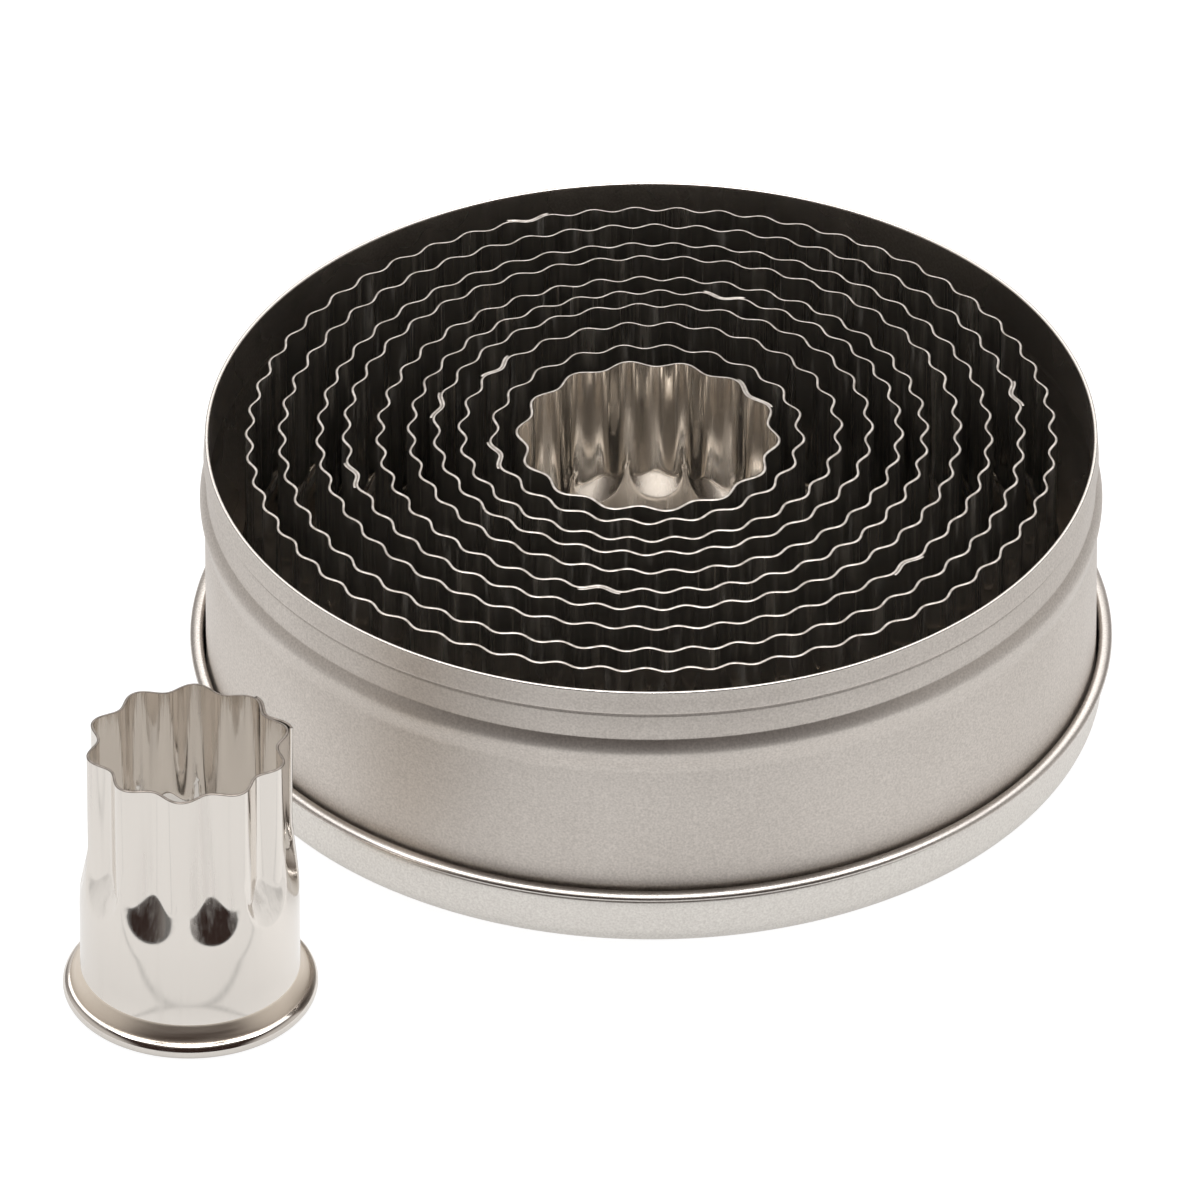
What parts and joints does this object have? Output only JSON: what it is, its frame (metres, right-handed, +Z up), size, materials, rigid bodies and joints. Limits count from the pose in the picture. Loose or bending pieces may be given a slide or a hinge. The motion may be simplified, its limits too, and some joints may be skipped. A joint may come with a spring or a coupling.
{
  "type": "biscuit cutter set",
  "caption": "Graded crinkled round biscuit cutters nested edge up in a beaded round tin that stands in its upturned lid, with the smallest cutter standing beside it.",
  "frame": {"origin": "on the tin's axis at the underside of the upturned lid, on the table", "axes": "+Z up along the tin's axis, towards the cutting edges; +X to the right and +Y away from the viewer of the picture"},
  "size_m": [0.1161, 0.1228, 0.034],
  "materials": {
    "tinplate": "satin tinplate",
    "polished_steel": "bright polished sheet"
  },
  "bodies": {
    "tin_lid": {"tin_lid": "tinplate"},
    "tin_body": {"tin_body": "tinplate"},
    "cutter_01": {"cutter_01": "polished_steel"},
    "cutter_02": {"cutter_02": "polished_steel"},
    "cutter_03": {"cutter_03": "polished_steel"},
    "cutter_04": {"cutter_04": "polished_steel"},
    "cutter_05": {"cutter_05": "polished_steel"},
    "cutter_06": {"cutter_06": "polished_steel"},
    "cutter_07": {"cutter_07": "polished_steel"},
    "cutter_08": {"cutter_08": "polished_steel"},
    "cutter_09": {"cutter_09": "polished_steel"},
    "cutter_10": {"cutter_10": "polished_steel"},
    "cutter_11": {"cutter_11": "polished_steel"}
  },
  "joints": [
    {"name": "tin_lift", "type": "slide", "parent": "tin_lid", "child": "tin_body", "axis": [0, 0, 1], "range_m": [0, 0.012]},
    {"name": "cutter_10_lift", "type": "slide", "parent": "tin_body", "child": "cutter_10", "axis": [0, 0, 1], "range_m": [0, 0.036]},
    {"name": "cutter_09_lift", "type": "slide", "parent": "cutter_10", "child": "cutter_09", "axis": [0, 0, 1], "range_m": [0, 0.036]},
    {"name": "cutter_08_lift", "type": "slide", "parent": "cutter_09", "child": "cutter_08", "axis": [0, 0, 1], "range_m": [0, 0.036]},
    {"name": "cutter_07_lift", "type": "slide", "parent": "cutter_08", "child": "cutter_07", "axis": [0, 0, 1], "range_m": [0, 0.036]},
    {"name": "cutter_06_lift", "type": "slide", "parent": "cutter_07", "child": "cutter_06", "axis": [0, 0, 1], "range_m": [0, 0.036]},
    {"name": "cutter_05_lift", "type": "slide", "parent": "cutter_06", "child": "cutter_05", "axis": [0, 0, 1], "range_m": [0, 0.036]},
    {"name": "cutter_04_lift", "type": "slide", "parent": "cutter_05", "child": "cutter_04", "axis": [0, 0, 1], "range_m": [0, 0.036]},
    {"name": "cutter_03_lift", "type": "slide", "parent": "cutter_04", "child": "cutter_03", "axis": [0, 0, 1], "range_m": [0, 0.036]},
    {"name": "cutter_02_lift", "type": "slide", "parent": "cutter_03", "child": "cutter_02", "axis": [0, 0, 1], "range_m": [0, 0.036]},
    {"name": "cutter_01_lift", "type": "slide", "parent": "cutter_02", "child": "cutter_01", "axis": [0, 0, 1], "range_m": [0, 0.036]},
    {"name": "cutter_11_lift", "type": "slide", "parent": "tin_lid", "child": "cutter_11", "axis": [0, 0, 1], "range_m": [0, 0.036]}
  ]
}
